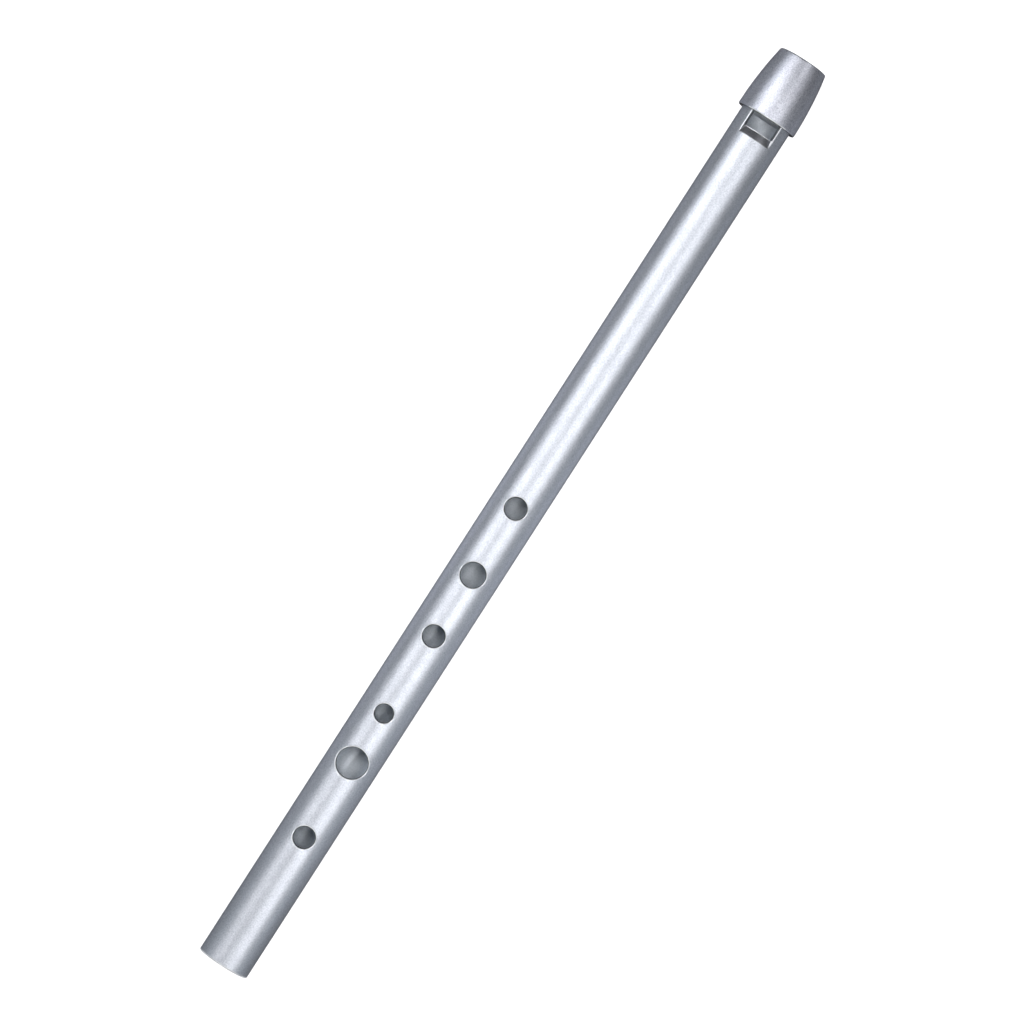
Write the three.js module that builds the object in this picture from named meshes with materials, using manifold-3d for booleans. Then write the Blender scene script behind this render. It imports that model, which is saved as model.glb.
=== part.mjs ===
// A tin whistle in C: a one-piece aluminium tube with six finger holes, a fipple block plugged
// into its top end, and a turned mouthpiece cap pressed over both. Millimetres, +Z up.
// The tube lies along X with its foot at -X, the mouthpiece at +X and the finger holes facing +Z.
// The origin is on the tube's axis, halfway along the whistle.

import * as THREE from 'three';
import { mergeVertices } from 'three/addons/utils/BufferGeometryUtils.js';
import Module from 'manifold-3d';

const wasm = await Module();
wasm.setup();

// ---- Driving dimensions. Every "at" is a distance from the foot, along the tube. ----

const LENGTH = 340;
const TUBE_RADIUS = 8.75;
const WALL = 1.3;
const BORE_RADIUS = TUBE_RADIUS - WALL;
const TUBE_END = 328; // the tube's top end, hidden inside the cap
const EDGE_BREAK = 0.2; // the small chamfer on turned edges
const FIT = 0.1; // clearance of a pressed and glued fit, on the radius

const FINGER_HOLES = [
  { at: 171.5, radius: 3.7 },
  { at: 146.6, radius: 4.2 },
  { at: 123.7, radius: 3.7 },
  { at: 94.7, radius: 3.15 },
  { at: 76.1, radius: 5.2 },
  { at: 48.2, radius: 3.65 },
];

// The window is a stretch of the tube's wall cut away between two planes through the axis. The
// same cut runs on to the tube's top end, under the cap, as the windway.
const WINDOW_HALF_ANGLE = THREE.MathUtils.degToRad(37.5);
const RAMP_AT = 310.1; // where the ramp leaves the tube's surface
const BLADE_AT = 312.7; // where the ramp ends, as a thin blade at the bore
const BLADE_THICKNESS = 0.15;

const CAP_AT = 318; // the cap's lower edge, which is also the block's face
const CAP_RADIUS = 10.35;
const CAP_LIP_RADIUS = 8.45; // where the lip's rounding starts
const CAP_LIP_ROUND = 0.55;

const NOSE_RADIUS = 5.8; // the block's tapered nose, at the mouth end
const WINDWAY_MOUTH_HEIGHT = 1.15; // from the nose up to the cap's metal, at the mouth end

const ROUND_SEGMENTS = 96; // around the tube, the cap and the block
const HOLE_SEGMENTS = 48;
const PAST = 2; // how far a cutting solid runs past what it cuts

// ---- Helpers ----

// A closed geometry as a solid that can be cut and joined.
function solid(geometry) {
  const bare = geometry.clone().deleteAttribute('normal').deleteAttribute('uv');
  const merged = mergeVertices(bare, 1e-4);
  return new wasm.Manifold(
    new wasm.Mesh({
      numProp: 3,
      vertProperties: new Float32Array(merged.attributes.position.array),
      triVerts: new Uint32Array(merged.index.array),
    }),
  );
}

// A solid as a named mesh.
function part(name, shape, material) {
  const { vertProperties, triVerts } = shape.getMesh();
  const geometry = new THREE.BufferGeometry();
  geometry.setAttribute('position', new THREE.BufferAttribute(vertProperties, 3));
  geometry.setIndex(new THREE.BufferAttribute(triVerts, 1));
  geometry.computeVertexNormals();
  const mesh = new THREE.Mesh(geometry, material);
  mesh.name = name;
  return mesh;
}

// A solid turned about the tube's axis. The outline's points are [distance from foot, radius],
// in the order that a line drawn from the foot over the outside to the mouth end would meet them.
function turned(outline) {
  const points = outline.map(([at, radius]) => new THREE.Vector2(radius, at));
  const lathe = new THREE.LatheGeometry(points, ROUND_SEGMENTS);
  return solid(lathe.rotateZ(-Math.PI / 2));
}

// A plain round rod, or a straight cone, along the tube's axis.
function rod(from, to, fromRadius, toRadius = fromRadius) {
  return turned([
    [from, 0],
    [from, fromRadius],
    [to, toRadius],
    [to, 0],
  ]);
}

// A prism that opens upwards from the tube's axis between the window's two side planes.
function wedge(from, to) {
  const height = 2 * TUBE_RADIUS;
  const halfWidth = height * Math.tan(WINDOW_HALF_ANGLE);
  const section = new THREE.Shape()
    .moveTo(0, 0)
    .lineTo(halfWidth, height)
    .lineTo(-halfWidth, height)
    .closePath();
  const prism = new THREE.ExtrudeGeometry(section, { depth: to - from, bevelEnabled: false });
  return solid(prism.rotateX(Math.PI / 2).rotateZ(Math.PI / 2).translate(from, 0, 0));
}

// ---- Body tube ----

// The drawn tube: a closed ring outline with its edges broken.
function plainTube() {
  return turned([
    [0, BORE_RADIUS + EDGE_BREAK],
    [0, TUBE_RADIUS - EDGE_BREAK],
    [EDGE_BREAK, TUBE_RADIUS],
    [TUBE_END - EDGE_BREAK, TUBE_RADIUS],
    [TUBE_END, TUBE_RADIUS - EDGE_BREAK],
    [TUBE_END, BORE_RADIUS],
    [EDGE_BREAK, BORE_RADIUS],
    [0, BORE_RADIUS + EDGE_BREAK],
  ]);
}

// What is cut away for the ramp, the window and the windway.
function windowCut() {
  const cutter = turned([
    [RAMP_AT, TUBE_RADIUS],
    [RAMP_AT, TUBE_RADIUS + PAST],
    [TUBE_END + PAST, TUBE_RADIUS + PAST],
    [TUBE_END + PAST, BORE_RADIUS - PAST],
    [BLADE_AT, BORE_RADIUS - PAST],
    [BLADE_AT, BORE_RADIUS + BLADE_THICKNESS],
    [RAMP_AT, TUBE_RADIUS],
  ]);
  return cutter.intersect(wedge(RAMP_AT - PAST, TUBE_END + 2 * PAST));
}

function fingerHole({ at, radius }) {
  const height = TUBE_RADIUS + PAST;
  const drill = new THREE.CylinderGeometry(radius, radius, height, HOLE_SEGMENTS);
  return solid(drill.rotateX(Math.PI / 2).translate(at, 0, height / 2));
}

function bodyTube() {
  const tube = plainTube().subtract(windowCut());
  return FINGER_HOLES.reduce((drilled, hole) => drilled.subtract(fingerHole(hole)), tube);
}

// ---- Fipple block ----

// A round plug whose nose tapers to the mouth end. Its top is the windway's floor.
function fippleBlock() {
  return turned([
    [CAP_AT, 0],
    [CAP_AT, BORE_RADIUS - FIT],
    [TUBE_END, BORE_RADIUS - FIT],
    [LENGTH, NOSE_RADIUS],
    [LENGTH, 0],
  ]);
}

// ---- Mouthpiece cap ----

// The cap's outside: one long bow from the full radius at its lower edge to a rounded lip.
function capOutside() {
  const bowAt = CAP_AT + EDGE_BREAK;
  const lipAt = LENGTH - CAP_LIP_ROUND;
  const bow = new THREE.QuadraticBezierCurve(
    new THREE.Vector2(bowAt, CAP_RADIUS),
    new THREE.Vector2((bowAt + lipAt) / 2, CAP_RADIUS),
    new THREE.Vector2(lipAt, CAP_LIP_RADIUS),
  );
  const lip = new THREE.QuadraticBezierCurve(
    new THREE.Vector2(lipAt, CAP_LIP_RADIUS),
    new THREE.Vector2(LENGTH, CAP_LIP_RADIUS - 0.15),
    new THREE.Vector2(LENGTH, CAP_LIP_RADIUS - CAP_LIP_ROUND),
  );
  return turned([
    [CAP_AT, 0],
    [CAP_AT, CAP_RADIUS - EDGE_BREAK],
    ...bow.getPoints(12).map((p) => [p.x, p.y]),
    ...lip.getPoints(6).slice(1).map((p) => [p.x, p.y]),
    [LENGTH, 0],
  ]);
}

// The seats inside the cap: a bore for the tube, then a taper for the block's nose.
function capSeats() {
  const tubeSeat = rod(CAP_AT - PAST, TUBE_END + FIT, TUBE_RADIUS + FIT);
  const noseSeat = rod(TUBE_END, LENGTH, BORE_RADIUS, NOSE_RADIUS + FIT);
  const mouth = rod(LENGTH - FIT, LENGTH + PAST, NOSE_RADIUS + FIT);
  return tubeSeat.add(noseSeat).add(mouth);
}

// The windway past the tube's end: a slot over the block's nose, out through the mouth end.
function capWindway() {
  const mouthRoof = NOSE_RADIUS + WINDWAY_MOUTH_HEIGHT;
  const roof = rod(TUBE_END, LENGTH, TUBE_RADIUS, mouthRoof);
  const mouth = rod(LENGTH - FIT, LENGTH + PAST, mouthRoof);
  return roof.add(mouth).intersect(wedge(TUBE_END - PAST, LENGTH + 2 * PAST));
}

function mouthpieceCap() {
  return capOutside().subtract(capSeats()).subtract(capWindway());
}

// ---- Assembly ----

const satinAluminium = new THREE.MeshStandardMaterial({
  color: 0xc4c7cd,
  roughness: 0.38,
  metalness: 1,
});
const machinedAluminium = new THREE.MeshStandardMaterial({
  color: 0xa9acb1,
  roughness: 0.45,
  metalness: 1,
});

const whistle = new THREE.Group();
whistle.add(part('body_tube', bodyTube(), satinAluminium));
whistle.add(part('fipple_block', fippleBlock(), machinedAluminium));
whistle.add(part('mouthpiece_cap', mouthpieceCap(), satinAluminium));
whistle.position.x = -LENGTH / 2;

export default whistle;
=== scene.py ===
"""The looks of a tin whistle: a satin aluminium tube, the block in its top end and the cap over both.

Every size of the whistle is in millimetres until a mesh is finished, and every "at" is a distance
from the foot, along the tube. The tube lies along X with its foot at -X, and its finger holes face
+Z. Sizes of the camera, the floor and the lights are in metres.
"""

import math

import bmesh
import bpy
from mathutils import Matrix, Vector


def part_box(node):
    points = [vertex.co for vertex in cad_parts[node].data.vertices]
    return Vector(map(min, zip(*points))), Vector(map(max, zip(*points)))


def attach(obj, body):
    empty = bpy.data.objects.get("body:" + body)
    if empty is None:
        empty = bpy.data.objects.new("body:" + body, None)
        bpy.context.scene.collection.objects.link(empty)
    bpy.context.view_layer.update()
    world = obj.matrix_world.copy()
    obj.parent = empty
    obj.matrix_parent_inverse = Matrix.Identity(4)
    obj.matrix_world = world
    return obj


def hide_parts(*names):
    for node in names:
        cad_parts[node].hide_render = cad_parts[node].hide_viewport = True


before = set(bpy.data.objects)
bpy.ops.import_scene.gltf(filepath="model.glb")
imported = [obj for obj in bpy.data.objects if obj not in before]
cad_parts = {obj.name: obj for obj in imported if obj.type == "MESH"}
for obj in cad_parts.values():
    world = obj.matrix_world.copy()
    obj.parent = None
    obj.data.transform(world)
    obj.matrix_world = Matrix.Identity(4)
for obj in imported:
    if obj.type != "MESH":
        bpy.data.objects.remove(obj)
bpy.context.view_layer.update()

MM = 0.001

# The cut finish is whitened into painted highlights on edges; the milled and drilled finishes are
# darkened into painted shade in recesses.
SATIN, CUT_SHINE, BORE, MILLED_SHADE, DRILLED_SHADE = range(5)  # the finishes of the tube and of the cap
INNER_END, SIDE, MOUTH_END = range(3)  # the block's faces, each with a finish of its own

# ---- Sizes, from the frame and from the whistle's own dimensions ----

TUBE_LOW, TUBE_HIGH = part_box("body_tube")
CAP_LOW, CAP_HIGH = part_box("mouthpiece_cap")
FOOT_X = TUBE_LOW[0]


def at_of(x):
    """The distance from the foot, in millimetres, of a place along X in the frame."""
    return round((x - FOOT_X) / MM, 4)


TUBE_END = at_of(TUBE_HIGH[0])
CAP_AT = at_of(CAP_LOW[0])
LENGTH = at_of(CAP_HIGH[0])
TUBE_RADIUS = round(TUBE_HIGH[1] / MM, 4)
CAP_RADIUS = round(CAP_HIGH[1] / MM, 4)
WALL = 1.3
BORE_RADIUS = TUBE_RADIUS - WALL
FIT = 0.1  # the clearance of a pressed fit, on the radius

FINGER_HOLES = [
    {"at": 171.5, "radius": 3.7},
    {"at": 146.6, "radius": 4.2},
    {"at": 123.7, "radius": 3.7},
    {"at": 94.7, "radius": 3.15},
    {"at": 76.1, "radius": 5.2},
    {"at": 48.2, "radius": 3.65},
]
RIM_WIDTH = 0.4  # the rounding of a finger hole's outer edge
RIM_DEPTH = 0.3
RIM_STEPS = 5
INNER_RIM = 0.1
HOLE_TAPER = 0.2  # how much narrower a finger hole is at the bore than under its rim
# The flats that deburring leaves along the window's sides, at +Y and at -Y: their width and depth.
FLATS = {1: (0.24, 0.09), -1: (0.3, 0.12)}
FLAT_RUN_IN = 1.2  # the length over which a flat widens from nothing, at the ramp's start

RAMP_AT = 310.1
BLADE_AT = 312.7
BLADE_THICKNESS = 0.15
BLADE_RADIUS = BORE_RADIUS + BLADE_THICKNESS
FOLD_ROUND = 0.15  # half the length over which the tube's surface bends into the ramp
BLADE_LAND = 0.17  # the narrow level strip along the blade's edge
# The ramp's cheeks, at +Y and at -Y: how far the blade's corner is drawn in, how much of the
# blade's depth the cheek's gentle part takes up, and that part's finish: painted shade at +Y and
# a painted highlight at -Y.
CHEEKS = {1: (math.radians(3.3), 1.0, MILLED_SHADE), -1: (math.radians(1.9), 0.3, CUT_SHINE)}

NOSE_RADIUS = 5.8  # the block's tapered nose, at the mouth end
PLUG_ROUND = 0.12
WINDWAY_MOUTH_HEIGHT = 1.15
CAP_LIP_RADIUS = 8.45  # where the lip's rounding starts
CAP_LIP_ROUND = 0.55
CAP_LIP_PULL = 0.1  # how far the lip's rounding narrows before it turns
CAP_EDGE_WIDTH = 0.35  # the chamfer round the cap's lower edge
CAP_EDGE_DEPTH = 0.18
FOOT_ROUND = 0.55
FOOT_INNER_ROUND = 0.25

COLUMN = math.radians(2.5)  # one column of faces round the tube, the cap and the block
COLUMNS = round(2 * math.pi / COLUMN)
HALF_ROUND = COLUMNS // 2
WINDOW_COLUMNS = 15  # from the top of the tube to each side of the window
PATCH_COLUMNS = 22  # from the top of the tube to each side of a finger hole's patch
PATCH_ROWS = 16
PATCH_RINGS = 6
PATCH_MARGIN = 2.2  # from a finger hole's edge to the ends of its patch
# Painted highlight: the cap's chamfer takes the bright cut finish only this far to each side of the
# top, and satin elsewhere.
PAINTED_SHINE_COLUMNS = WINDOW_COLUMNS + 2  # the cap's chamfer is bright this far to each side of the top
ROW_LENGTH = 8  # about how long the faces of the plain tube are
PLAIN_START = 252  # the plain tube between the top finger hole and the ramp
PLAIN_END = 308
RAMP_ROWS = (311, 312)  # rows between the ramp's bend and its blade
WINDOW_ROW = CAP_AT - 2  # one more row beside the window
ROW_SLACK = 0.01  # rows this near to each other are the same
# How many faces follow each rounding, the cap's bow and the windway's taper.
FOOT_STEPS = 9
PLUG_STEPS = 3
BOW_STEPS = 30
LIP_STEPS = 10
WINDWAY_STEPS = 6
# The rings of faces on the block's two ends, as shares of the radius.
INNER_END_RINGS = (0, 0.3, 0.6, 0.8, 1)
MOUTH_END_RINGS = (0.75, 0.4, 0)
SHARP = math.radians(11)  # faces that meet at more than this have a hard edge between them


# ---- Mesh building ----

class Skin:
    """Faces given by their corner points, in millimetres. Corners at the same point are joined."""

    def __init__(self):
        self.mesh = bmesh.new()
        self.corners = {}

    def corner(self, point):
        key = tuple(round(value, 4) for value in point)
        if key not in self.corners:
            self.corners[key] = self.mesh.verts.new(point)
        return self.corners[key]

    def face(self, points, finish):
        ring = []
        for point in points:
            corner = self.corner(point)
            if corner not in ring:
                ring.append(corner)
        if len(ring) > 2:
            self.mesh.faces.new(ring).material_index = finish

    def strip(self, first, second, finish, closed=False):
        """Four-sided faces between two rows of points of the same length."""
        count = len(first) if closed else len(first) - 1
        for i in range(count):
            j = (i + 1) % len(first)
            self.face([first[i], first[j], second[j], second[i]], finish)

    def piece(self, name, finishes, slot, *nodes):
        """The finished object, in metres and in place, riding on the part's only body."""
        for vertex in self.mesh.verts:
            vertex.co = Vector((FOOT_X + vertex.co.x * MM, vertex.co.y * MM, vertex.co.z * MM))
        bmesh.ops.recalc_face_normals(self.mesh, faces=self.mesh.faces)
        for face in self.mesh.faces:
            face.smooth = True
        for edge in self.mesh.edges:
            edge.smooth = edge.calc_face_angle(math.pi) < SHARP
        data = bpy.data.meshes.new(name)
        self.mesh.to_mesh(data)
        self.mesh.free()
        for finish in finishes:
            data.materials.append(finish)
        piece = bpy.data.objects.new(name, data)
        bpy.context.collection.objects.link(piece)
        normals = piece.modifiers.new("even_normals", "WEIGHTED_NORMAL")
        normals.keep_sharp = True
        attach(piece, "root")
        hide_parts(*nodes)
        return piece


def around(at, angle, radius):
    """A point beside the tube's axis. The angle is from the top, towards +Y."""
    return (at, radius * math.sin(angle), radius * math.cos(angle))


def mix(a, b, share):
    return a + (b - a) * share


def bend(start, middle, end, steps):
    """Points on a smooth bend between two ends, pulled towards a middle point."""
    points = []
    for step in range(steps + 1):
        t = step / steps
        points.append(tuple(
            (1 - t) ** 2 * a + 2 * t * (1 - t) * b + t ** 2 * c
            for a, b, c in zip(start, middle, end)
        ))
    return points


def on_surface(radius, y):
    """The angle at which a round surface is this far to the side of the middle plane."""
    return math.asin(y / radius)


def lathe(skin, profile, finish, first=-HALF_ROUND, last=HALF_ROUND):
    """A profile of (at, radius) turned from one column to another."""
    angles = [column * COLUMN for column in range(first, last + 1)]
    for (at, radius), (next_at, next_radius) in zip(profile, profile[1:]):
        skin.strip(
            [around(at, angle, radius) for angle in angles],
            [around(next_at, angle, next_radius) for angle in angles],
            finish,
        )


# ---- Body tube ----

def patch_span(hole):
    reach = hole["radius"] + PATCH_MARGIN
    return hole["at"] - reach, hole["at"] + reach


def even_rows(start, end, count):
    return [mix(start, end, i / count) for i in range(count + 1)]


def tube_rows():
    """Where the tube's rows of faces meet: even steps across each patch, and along the plain tube."""
    plain_rows = round((PLAIN_END - PLAIN_START) / ROW_LENGTH)
    rows = {FOOT_ROUND, *even_rows(PLAIN_START, PLAIN_END, plain_rows)}
    rows.update([RAMP_AT - FOLD_ROUND, RAMP_AT, RAMP_AT + FOLD_ROUND, *RAMP_ROWS])
    rows.update([BLADE_AT - BLADE_LAND, BLADE_AT])
    rows.update([WINDOW_ROW, CAP_AT, TUBE_END])
    ends = [FOOT_ROUND]
    for hole in reversed(FINGER_HOLES):
        start, end = patch_span(hole)
        rows.update(even_rows(start, end, PATCH_ROWS))
        ends += [start, end]
    ends.append(PLAIN_START)
    for start, end in zip(ends[::2], ends[1::2]):
        rows.update(even_rows(start, end, max(1, round((end - start) / ROW_LENGTH))))
    return sorted({round(row, 4) for row in rows})


def hole_patch(skin, hole, radius, hole_radius, rim, drop, finish):
    """The surface round a finger hole, from a rectangle of the tube's rows and columns to the hole.

    Its edge is rounded over a level rim, which ends this far lower. Returns the last ring of points.
    """
    rim_radius = hole_radius + rim
    start, end = patch_span(hole)
    rows = [round(row, 4) for row in even_rows(start, end, PATCH_ROWS)]
    half_length = (end - start) / 2
    half_angle = PATCH_COLUMNS * COLUMN
    columns = [i * COLUMN for i in range(-PATCH_COLUMNS, PATCH_COLUMNS + 1)]
    border = [(end, angle) for angle in columns[:-1]]
    border += [(row, half_angle) for row in rows[:0:-1]]
    border += [(start, angle) for angle in columns[:0:-1]]
    border += [(row, -half_angle) for row in rows[:-1]]
    outer = [around(at, angle, radius) for at, angle in border]
    turns = [math.atan2(angle / half_angle, (at - hole["at"]) / half_length) for at, angle in border]
    rings = [outer]
    for step in range(1, PATCH_RINGS + 1):
        share = step / PATCH_RINGS
        ring = []
        for (at, angle), turn in zip(border, turns):
            rim_at = hole["at"] + rim_radius * math.cos(turn)
            rim_angle = on_surface(radius, rim_radius * math.sin(turn))
            ring.append(around(mix(at, rim_at, share), mix(angle, rim_angle, share), radius))
        rings.append(ring)
    for first, second in zip(rings, rings[1:]):
        skin.strip(first, second, finish, closed=True)
    last = rings[-1]
    # The rounded rim takes the cut finish, a painted highlight.
    rounding = bend((rim_radius, 0), (hole_radius, 0), (hole_radius, drop), RIM_STEPS)
    for spread, fall in rounding[1:]:
        ring = []
        for turn, (_, _, rim_z) in zip(turns, rings[-1]):
            ring.append((hole["at"] + spread * math.cos(turn), spread * math.sin(turn), rim_z - fall))
        skin.strip(last, ring, CUT_SHINE, closed=True)
        last = ring
    return last


def finger_hole(skin, hole):
    """Both patches of a finger hole, with the deburred rim outside, and the wall between them."""
    narrow = hole["radius"] - HOLE_TAPER
    outside = hole_patch(skin, hole, TUBE_RADIUS, hole["radius"], RIM_WIDTH, RIM_DEPTH, SATIN)
    inside = hole_patch(skin, hole, BORE_RADIUS, narrow, INNER_RIM, -INNER_RIM, BORE)
    half_way = [tuple(mix(a, b, 0.5) for a, b in zip(p, q)) for p, q in zip(outside, inside)]
    # The wall is drilled finish, painted shade.
    skin.strip(outside, half_way, DRILLED_SHADE, closed=True)
    skin.strip(half_way, inside, DRILLED_SHADE, closed=True)


def ramp_radius(at):
    """How far the ramp's surface is from the axis. It leaves the tube's surface in a small bend."""
    past = min(at, BLADE_AT - BLADE_LAND) - RAMP_AT
    slope = (TUBE_RADIUS - BLADE_RADIUS) / (BLADE_AT - BLADE_LAND - RAMP_AT)
    if past <= -FOLD_ROUND:
        return TUBE_RADIUS
    if past < FOLD_ROUND:
        return TUBE_RADIUS - slope * (past + FOLD_ROUND) ** 2 / (4 * FOLD_ROUND)
    return TUBE_RADIUS - slope * past


def ramp_side(at, side):
    """The angle of the ramp's edge on one side. It is drawn in as the ramp goes down."""
    depth = (TUBE_RADIUS - ramp_radius(at)) / (TUBE_RADIUS - BLADE_RADIUS)
    drawn_in, _, _ = CHEEKS[side]
    return side * (WINDOW_COLUMNS * COLUMN - drawn_in * depth)


def ramp_point(at, column):
    across = (column / WINDOW_COLUMNS + 1) / 2
    return around(at, mix(ramp_side(at, -1), ramp_side(at, 1), across), ramp_radius(at))


def window_side(skin, rows, side):
    """The window's and the windway's wall on one side, with the flat along its outer edge.

    Returns the flat's outer edge, as a point for each row.
    """
    angle = side * WINDOW_COLUMNS * COLUMN
    inner_y = TUBE_RADIUS * math.sin(abs(angle))
    flat_width, flat_depth = FLATS[side]
    flat, ledge = [], []
    for at in rows:
        grown = min(1, max(0, (at - RAMP_AT + FOLD_ROUND) / FLAT_RUN_IN))
        flat_angle = side * on_surface(TUBE_RADIUS, inner_y + flat_width * grown)
        flat.append(around(at, flat_angle, TUBE_RADIUS))
        lowest = ramp_radius(at) if at <= BLADE_AT else BORE_RADIUS
        ledge.append(around(at, angle, max(lowest, TUBE_RADIUS - flat_depth * grown)))
    # The flat takes the cut finish, a painted highlight.
    skin.strip(flat, ledge, CUT_SHINE)
    blade = rows.index(BLADE_AT)
    _, gentle, cheek_painted_light = CHEEKS[side]
    turn, cheek = [], []
    for at in rows[:blade + 1]:
        radius = ramp_radius(at)
        turn.append(around(at, ramp_side(at, side), mix(TUBE_RADIUS, radius, gentle)))
        cheek.append(around(at, ramp_side(at, side), radius))
    # The cheek's gentle part takes its side's finish: painted shade at +Y, a painted highlight at -Y.
    skin.strip(ledge[:blade + 1], turn, cheek_painted_light)
    # The steep cheek and the wall beyond the blade take the milled finish, painted shade.
    skin.strip(turn, cheek, MILLED_SHADE)
    wall = [around(at, angle, BORE_RADIUS) for at in rows[blade:]]
    skin.strip(ledge[blade:], wall, MILLED_SHADE)
    skin.face([ledge[blade], turn[blade], cheek[blade], wall[0]], MILLED_SHADE)
    return dict(zip(rows, flat))


def body_tube(finishes):
    skin = Skin()
    rows = tube_rows()
    fold = round(RAMP_AT - FOLD_ROUND, 4)
    window_rows = [row for row in rows if row >= fold]
    edges = {side: window_side(skin, window_rows, side) for side in (-1, 1)}
    patches = [patch_span(hole) for hole in FINGER_HOLES]

    def outside(row, column):
        """A point of the outer surface, moved out to the flat where it borders the window."""
        if row >= fold and abs(column) == WINDOW_COLUMNS:
            return edges[1 if column > 0 else -1][row]
        return around(row, column * COLUMN, TUBE_RADIUS)

    for low, high in zip(rows, rows[1:]):
        in_patch = any(
            start - ROW_SLACK < low and high < end + ROW_SLACK for start, end in patches
        )
        for column in range(-HALF_ROUND, HALF_ROUND):
            near, far = column * COLUMN, (column + 1) * COLUMN
            middle = abs(column + 0.5)
            if in_patch and middle < PATCH_COLUMNS:
                continue
            in_window = low >= fold and middle < WINDOW_COLUMNS
            if not in_window:
                corners = [outside(low, column), outside(high, column)]
                corners += [outside(high, column + 1), outside(low, column + 1)]
                skin.face(corners, SATIN)
            elif high <= BLADE_AT:
                # The ramp is milled finish, painted shade; its last row, the blade's land, is cut
                # finish, a painted highlight.
                ramp = [ramp_point(low, column), ramp_point(high, column)]
                ramp += [ramp_point(high, column + 1), ramp_point(low, column + 1)]
                skin.face(ramp, CUT_SHINE if high == BLADE_AT else MILLED_SHADE)
            if not in_window or high <= BLADE_AT:
                bore = [around(low, near, BORE_RADIUS), around(high, near, BORE_RADIUS)]
                bore += [around(high, far, BORE_RADIUS), around(low, far, BORE_RADIUS)]
                skin.face(bore, BORE)
            if in_window and high == BLADE_AT:
                # The blade's tip is milled finish, painted shade.
                tip = [ramp_point(high, column), ramp_point(high, column + 1)]
                tip += [around(high, far, BORE_RADIUS), around(high, near, BORE_RADIUS)]
                skin.face(tip, MILLED_SHADE)
    tube_ends(skin, rows[-1], outside)
    for hole in FINGER_HOLES:
        finger_hole(skin, hole)
    return skin.piece("whistle_tube", finishes, "tube", "body_tube")


def tube_ends(skin, last, outside):
    """The two square-cut ends: the foot, with its edges rounded over, and the last row's."""
    outer_end = (0, TUBE_RADIUS - FOOT_ROUND)
    outer = bend((FOOT_ROUND, TUBE_RADIUS), (0, TUBE_RADIUS), outer_end, FOOT_STEPS)
    inner_start = (0, BORE_RADIUS + FOOT_INNER_ROUND)
    inner = bend(inner_start, (0, BORE_RADIUS), (FOOT_ROUND, BORE_RADIUS), FOOT_STEPS)
    # The foot's rounded edge and the end faces below take the cut finish, a painted highlight.
    lathe(skin, outer, CUT_SHINE)
    lathe(skin, [outer[-1], *inner], SATIN)
    for column in range(-HALF_ROUND, HALF_ROUND):
        if abs(column + 0.5) > WINDOW_COLUMNS:
            near, far = column * COLUMN, (column + 1) * COLUMN
            corners = [outside(last, column), outside(last, column + 1)]
            corners += [around(last, far, BORE_RADIUS), around(last, near, BORE_RADIUS)]
            skin.face(corners, CUT_SHINE)
    for side in (-1, 1):
        angle = side * WINDOW_COLUMNS * COLUMN
        ledge = around(last, angle, TUBE_RADIUS - FLATS[side][1])
        wall = around(last, angle, BORE_RADIUS)
        skin.face([outside(last, side * WINDOW_COLUMNS), ledge, wall], CUT_SHINE)


# ---- Fipple block ----

def fipple_block(finishes):
    """The turned plug whose top is the windway's floor."""
    skin = Skin()
    radius = BORE_RADIUS - FIT
    inner_end = [(CAP_AT, share * (radius - PLUG_ROUND)) for share in INNER_END_RINGS]
    side = bend(inner_end[-1], (CAP_AT, radius), (CAP_AT + PLUG_ROUND, radius), PLUG_STEPS)
    side.append((TUBE_END, radius))
    nose = (LENGTH - PLUG_ROUND, NOSE_RADIUS)
    side += bend(nose, (LENGTH, NOSE_RADIUS), (LENGTH, NOSE_RADIUS - PLUG_ROUND), PLUG_STEPS)
    mouth_end = [side[-1], *((LENGTH, NOSE_RADIUS * share) for share in MOUTH_END_RINGS)]
    lathe(skin, inner_end, INNER_END)
    lathe(skin, side, SIDE)
    lathe(skin, mouth_end, MOUTH_END)
    return skin.piece("fipple_plug", finishes, "block", "fipple_block")


# ---- Mouthpiece cap ----

def cap_outline():
    """The cap's outside, from the chamfer at its lower edge to the mouth end's flat."""
    lip_at = LENGTH - CAP_LIP_ROUND
    bow_at = CAP_AT + CAP_EDGE_WIDTH
    lip = (lip_at, CAP_LIP_RADIUS)
    bow = bend((bow_at, CAP_RADIUS), ((bow_at + lip_at) / 2, CAP_RADIUS), lip, BOW_STEPS)
    flat = (LENGTH, CAP_LIP_RADIUS - CAP_LIP_ROUND)
    rounding = bend(lip, (LENGTH, CAP_LIP_RADIUS - CAP_LIP_PULL), flat, LIP_STEPS)
    return bow + rounding[1:]


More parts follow.
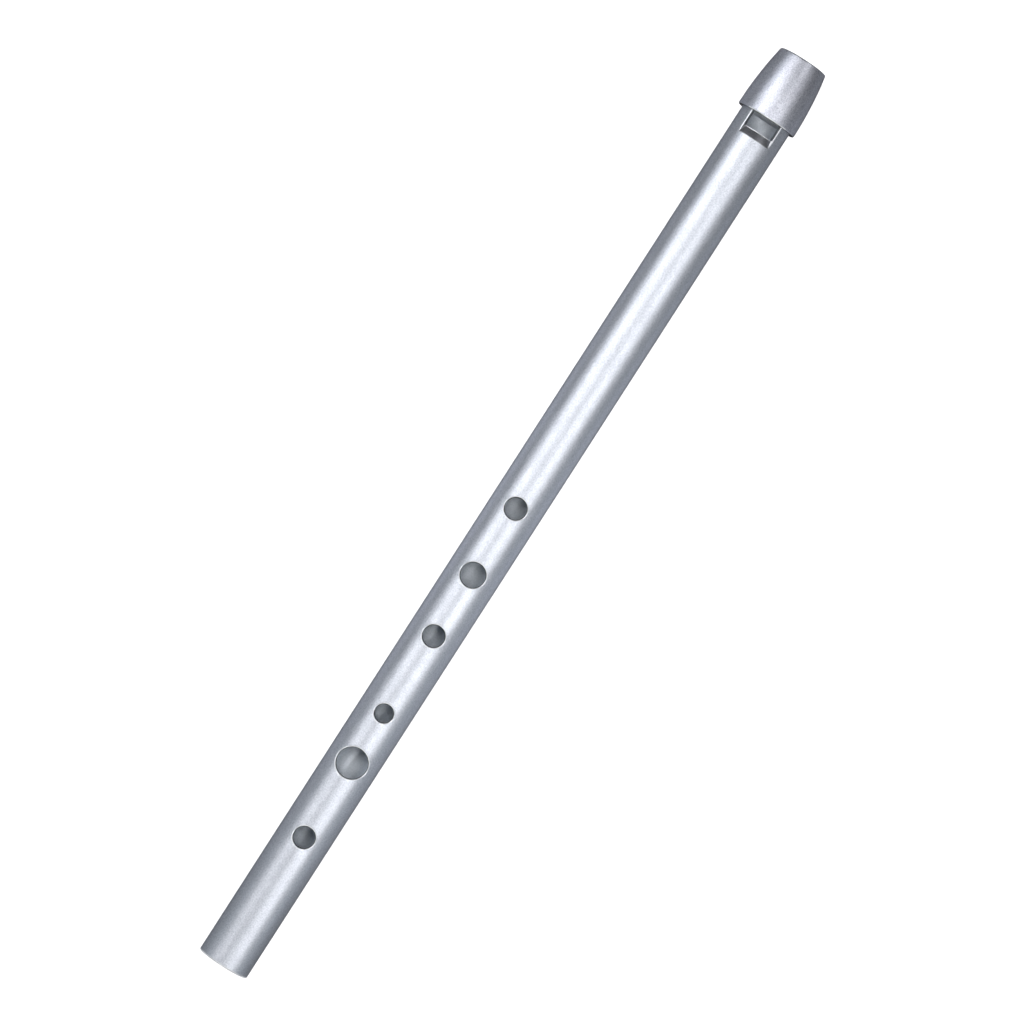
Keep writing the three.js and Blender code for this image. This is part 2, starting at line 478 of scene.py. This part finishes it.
def mouthpiece_cap(finishes):
    """The turned sleeve over the tube's end and the block. Its inside is the windway's roof."""
    skin = Skin()
    seat_radius = TUBE_RADIUS + FIT
    seat_end = TUBE_END + FIT
    roof_radius = NOSE_RADIUS + WINDWAY_MOUTH_HEIGHT
    outline = cap_outline()
    edge = (CAP_AT, CAP_RADIUS - CAP_EDGE_DEPTH)
    lathe(skin, outline, SATIN)
    # Painted highlight: the chamfer is cut finish near the top and satin round the rest.
    lathe(skin, [edge, outline[0]], CUT_SHINE, -PAINTED_SHINE_COLUMNS, PAINTED_SHINE_COLUMNS)
    lathe(skin, [edge, outline[0]], SATIN, PAINTED_SHINE_COLUMNS, COLUMNS - PAINTED_SHINE_COLUMNS)
    # The cap's lower end face is drilled finish, painted shade, darkening the windway's mouth.
    lathe(skin, [(CAP_AT, seat_radius), edge], DRILLED_SHADE)
    shares = even_rows(0, 1, WINDWAY_STEPS)
    closed = [(mix(LENGTH, seat_end, s), mix(NOSE_RADIUS + FIT, BORE_RADIUS, s)) for s in shares]
    slotted = [(mix(LENGTH, seat_end, s), mix(roof_radius, TUBE_RADIUS, s)) for s in shares]
    seat = [(seat_end, seat_radius), (CAP_AT, seat_radius)]
    for inside, spans in (
        (closed, [(-HALF_ROUND, -WINDOW_COLUMNS), (WINDOW_COLUMNS, HALF_ROUND)]),
        (slotted, [(-WINDOW_COLUMNS, WINDOW_COLUMNS)]),
    ):
        for first, last in spans:
            lathe(skin, [outline[-1], slotted[0], inside[0]], SATIN, first, last)
            # The windway's roof is milled finish, painted shade.
            lathe(skin, inside, MILLED_SHADE, first, last)
            lathe(skin, [inside[-1], slotted[-1], *seat], BORE, first, last)
    # The slot's side walls are milled finish, painted shade.
    for side in (-1, 1):
        angle = side * WINDOW_COLUMNS * COLUMN
        skin.strip(
            [around(at, angle, radius) for at, radius in closed],
            [around(at, angle, radius) for at, radius in slotted],
            MILLED_SHADE,
        )
    return skin.piece("mouthpiece", finishes, "cap", "mouthpiece_cap")


# ---- Finishes ----

CLOUD_SIZE = 9  # the grains of the slowest unevenness, in millimetres
CLOUD_DETAIL = 2.0
SPOT_SIZE = 0.4
SPOT_DETAIL = 3.0
GRAIN_DETAIL = 4.0
NOISE_ROUGHNESS = 0.6
NOISE_LOW, NOISE_HIGH = 0.3, 0.7  # nearly all of a noise lies between these
CLOUD_GLOSS = 0.02  # how far the clouds and the spots change the roughness, each way
SPOT_GLOSS = 0.03


def finish_nodes(name):
    """A new material, with its node tree, its shader and a function that adds a node."""
    finish = bpy.data.materials.new(name)
    finish.use_nodes = True
    tree = finish.node_tree
    shader = tree.nodes["Principled BSDF"]

    def add(kind, **values):
        node = tree.nodes.new(kind)
        for key, value in values.items():
            if hasattr(node, key):
                setattr(node, key, value)
            else:
                node.inputs[key].default_value = value
        return node

    return finish, tree.links.new, shader, add


def noise(add, link, size, detail):
    """A noise whose grains are about this many millimetres across, fixed to the object."""
    coordinates = add("ShaderNodeTexCoord")
    scale = 1 / (size * MM)
    texture = add("ShaderNodeTexNoise", Scale=scale, Detail=detail, Roughness=NOISE_ROUGHNESS)
    link(coordinates.outputs["Object"], texture.inputs["Vector"])
    return texture.outputs["Fac"]


def blend_range(add, link, value, low, high):
    """A noise's middle stretch, spread between two numbers."""
    spread = add("ShaderNodeMapRange")
    spread.inputs["From Min"].default_value = NOISE_LOW
    spread.inputs["From Max"].default_value = NOISE_HIGH
    spread.inputs["To Min"].default_value = low
    spread.inputs["To Max"].default_value = high
    link(value, spread.inputs["Value"])
    return spread.outputs["Result"]


def metal(name, dark, light, rough, grain, grain_depth, dull=0.0):
    """Bare aluminium: a mottled colour between two others, an uneven gloss and a fine grain.

    The grain's size and depth are in millimetres. The duller a finish is, the less metallic it
    is, so the more evenly it takes the light.
    """
    finish, link, shader, add = finish_nodes(name)
    cloud = noise(add, link, CLOUD_SIZE, CLOUD_DETAIL)
    spots = noise(add, link, SPOT_SIZE, SPOT_DETAIL)
    colour = add("ShaderNodeMix", data_type="RGBA")
    link(blend_range(add, link, spots, 0, 1), colour.inputs["Factor"])
    colour.inputs["A"].default_value = (*dark, 1)
    colour.inputs["B"].default_value = (*light, 1)
    link(colour.outputs["Result"], shader.inputs["Base Color"])
    uneven = add("ShaderNodeMath", operation="ADD")
    link(blend_range(add, link, cloud, rough - CLOUD_GLOSS, rough + CLOUD_GLOSS), uneven.inputs[0])
    link(blend_range(add, link, spots, -SPOT_GLOSS, SPOT_GLOSS), uneven.inputs[1])
    link(uneven.outputs["Value"], shader.inputs["Roughness"])
    shader.inputs["Metallic"].default_value = 1 - dull
    fine = noise(add, link, grain, GRAIN_DETAIL)
    bumps = add("ShaderNodeBump", Strength=1.0, Distance=grain_depth * MM)
    link(fine, bumps.inputs["Height"])
    link(bumps.outputs["Normal"], shader.inputs["Normal"])
    return finish


# ---- Making the whistle ----

# Each finish: its darkest and lightest colour, its roughness, and the grain's size and depth.
satin = metal("satin_aluminium", (0.50, 0.53, 0.59), (0.80, 0.82, 0.88), 0.47, 0.35, 0.031)
blasted = metal("blasted_aluminium", (0.47, 0.485, 0.56), (0.85, 0.86, 0.93), 0.45, 0.5, 0.062)
# Painted highlight: the cut finish is nearly white and half matt, so every rim, chamfer, flat and
# blade edge it covers shines from any side.
cut = metal("cut_aluminium_painted_highlight", (0.84, 0.86, 0.90), (0.92, 0.94, 0.97), 0.4, 0.5, 0.006, dull=0.5)
# Painted shade: the milled finish is darkened to stand in for the shade on the ramp, the window's
# walls and the windway's roof.
milled_shade = metal("milled_aluminium_painted_shade", (0.34, 0.35, 0.38), (0.46, 0.47, 0.50), 0.4, 0.4, 0.012)
# Painted shade: the drilled finish is nearly black, for the finger holes' walls, the cap's lower end
# face and the block's side, where shade falls.
drilled_shade = metal("drilled_aluminium_painted_shade", (0.16, 0.165, 0.175), (0.24, 0.245, 0.26), 0.5, 0.4, 0.012)
bore = metal("bore_aluminium", (0.66, 0.70, 0.75), (0.84, 0.88, 0.93), 0.48, 0.6, 0.031, dull=0.3)
turned = metal("turned_aluminium", (0.78, 0.81, 0.83), (0.90, 0.93, 0.95), 0.5, 0.4, 0.012, dull=0.8)

body_tube([satin, cut, bore, milled_shade, drilled_shade])
# The block's side, the windway's floor, takes the drilled finish, painted shade.
fipple_block([turned, drilled_shade, satin])
mouthpiece_cap([blasted, cut, bore, milled_shade, drilled_shade])

# ---- Camera, floor and light ----

PHOTO_TURN = math.radians(57.23)  # the whistle's slope in the picture
CAMERA_Y = 0.00044
CAMERA_HEIGHT = 1.695
FOCAL_LENGTH = 188
SENSOR_WIDTH = 36
SIGHT = 20  # how far the camera sees

MATT = 0.9  # the roughness of everything that isn't the whistle
FLOOR_Z = -CAP_RADIUS * MM
FLOOR_SIZE = (12, 12)
FLOOR_GLOW = 0.75
TABLE_DROP = 0.0005  # how far the table and the dark strip lie under the floor
STRIP_DROP = 0.0003
STRIP_SIZE = (0.345, 0.040)
WHITE = (0.9, 0.9, 0.9)
BLACK = (0, 0, 0)
# The reflected table has a painted pool of light, fading from the light grey below to the dark grey
# at the table's reach.
PAINTED_POOL_GREY = (0.50, 0.515, 0.55)
DARK_GREY = (0.10, 0.105, 0.11)
SHADOW_GREY = (0.03, 0.03, 0.035)
TABLE_REACH = 0.28  # where the table's light middle has faded out
BACKDROP_RADIUS = 6
BACKDROP_GLOW = 0.79
BACKDROP_SEGMENTS = 48
WORLD_COLOUR = (0.9, 0.95, 1, 1)
WORLD_STRENGTH = 0.06

camera = bpy.data.objects.new("camera", bpy.data.cameras.new("camera"))
camera.data.lens = FOCAL_LENGTH
camera.data.sensor_width = SENSOR_WIDTH
camera.data.clip_end = SIGHT
camera.location = (0, CAMERA_Y, CAMERA_HEIGHT)
camera.rotation_euler = (0, 0, -PHOTO_TURN)
bpy.context.collection.objects.link(camera)
bpy.context.scene.camera = camera


def plane(name, size, z, material):
    """A flat sheet under the whistle, in metres."""
    x, y = size[0] / 2, size[1] / 2
    data = bpy.data.meshes.new(name)
    data.from_pydata([(-x, -y, 0), (x, -y, 0), (x, y, 0), (-x, y, 0)], [], [(0, 1, 2, 3)])
    data.materials.append(material)
    sheet = bpy.data.objects.new(name, data)
    sheet.location.z = z
    bpy.context.collection.objects.link(sheet)
    return sheet


def dome(name, radius, material):
    """A sphere round the whole scene, which only the camera sees."""
    mesh = bmesh.new()
    rings = BACKDROP_SEGMENTS // 2
    bmesh.ops.create_uvsphere(mesh, u_segments=BACKDROP_SEGMENTS, v_segments=rings, radius=radius)
    data = bpy.data.meshes.new(name)
    mesh.to_mesh(data)
    mesh.free()
    data.materials.append(material)
    shell = bpy.data.objects.new(name, data)
    shell.visible_glossy = False
    shell.visible_diffuse = False
    shell.visible_shadow = False
    bpy.context.collection.objects.link(shell)


def plain(name, colour, glow=0.0):
    """One colour, which may give light of its own."""
    finish, _, shader, _ = finish_nodes(name)
    shader.inputs["Base Color"].default_value = (*colour, 1)
    shader.inputs["Roughness"].default_value = MATT
    shader.inputs["Emission Color"].default_value = (1, 1, 1, 1)
    shader.inputs["Emission Strength"].default_value = glow
    return finish


def painted_light_pool(name, middle, edge, reach):
    """A painted pool of light: a plain finish that fades from a middle colour to an edge colour at
    this distance.
    """
    finish, link, shader, add = finish_nodes(name)
    coordinates = add("ShaderNodeTexCoord")
    mapping = add("ShaderNodeMapping", Scale=(1 / reach, 1 / reach, 1 / reach))
    fade = add("ShaderNodeTexGradient", gradient_type="SPHERICAL")
    colour = add("ShaderNodeMix", data_type="RGBA")
    link(coordinates.outputs["Object"], mapping.inputs["Vector"])
    link(mapping.outputs["Vector"], fade.inputs["Vector"])
    link(fade.outputs["Fac"], colour.inputs["Factor"])
    colour.inputs["A"].default_value = (*edge, 1)
    colour.inputs["B"].default_value = (*middle, 1)
    link(colour.outputs["Result"], shader.inputs["Base Color"])
    shader.inputs["Roughness"].default_value = MATT
    return finish


# The camera sees a white floor. The metal reflects a grey table instead, with a painted pool of light
# that makes it lightest under the middle of the whistle, and a dark strip painted along its contact
# shadow.
floor = plane("floor", FLOOR_SIZE, FLOOR_Z, plain("floor_white", WHITE, FLOOR_GLOW))
floor.visible_glossy = False
table_light_pool = painted_light_pool("table_light_pool", PAINTED_POOL_GREY, DARK_GREY, TABLE_REACH)
table = plane("table", FLOOR_SIZE, FLOOR_Z - TABLE_DROP, table_light_pool)
table.visible_camera = False
shadow_grey = plain("shadow_grey", SHADOW_GREY)
shadow = plane("shadow_strip", STRIP_SIZE, FLOOR_Z - STRIP_DROP, shadow_grey)
shadow.visible_camera = False
dome("backdrop", BACKDROP_RADIUS, plain("backdrop_white", BLACK, BACKDROP_GLOW))

# Softboxes on hoops over the whistle: where the hoop crosses X, each one's tilt from straight above
# towards +Y, and its power in watts.
HOOP_RADIUS = 1.2
SOFTBOX_SIZE = 0.35
SOFTBOXES = [
    (0, 45, 1.3),
    (0, 30, 1.35),
    (0, -15, 2.1),
    (0, -30, 1.65),
    (0.2, 15, 1.6),
    (0.5, 60, 0.9),
    (0.5, 45, 1.65),
    (0.5, 30, 1.3),
    (1, -30, 2.1),
    (-0.2, -45, 1.75),
    (-0.2, -80, 0.55),
    (-0.5, 80, 0.7),
    (-2, 0, 10),
]
COOL_TILT = 50  # softboxes tilted more than this are a little blue
COOL = (0.84, 0.93, 1.0)


def softbox(x, tilt, power):
    """A square light on a hoop, aimed at the middle of the whistle."""
    light = bpy.data.lights.new("softbox", "AREA")
    light.size = SOFTBOX_SIZE
    light.energy = power
    if abs(tilt) > COOL_TILT:
        light.color = COOL
    lamp = bpy.data.objects.new("softbox", light)
    turn = math.radians(tilt)
    lamp.location = (x, HOOP_RADIUS * math.sin(turn), HOOP_RADIUS * math.cos(turn))
    lamp.rotation_euler = (-lamp.location).to_track_quat("-Z", "Y").to_euler()
    bpy.context.collection.objects.link(lamp)


for x, tilt, power in SOFTBOXES:
    softbox(x, tilt, power)

world = bpy.data.worlds.new("studio")
world.use_nodes = True
background = world.node_tree.nodes["Background"]
background.inputs["Color"].default_value = WORLD_COLOUR
background.inputs["Strength"].default_value = WORLD_STRENGTH
bpy.context.scene.world = world
bpy.context.scene.view_settings.view_transform = "Standard"
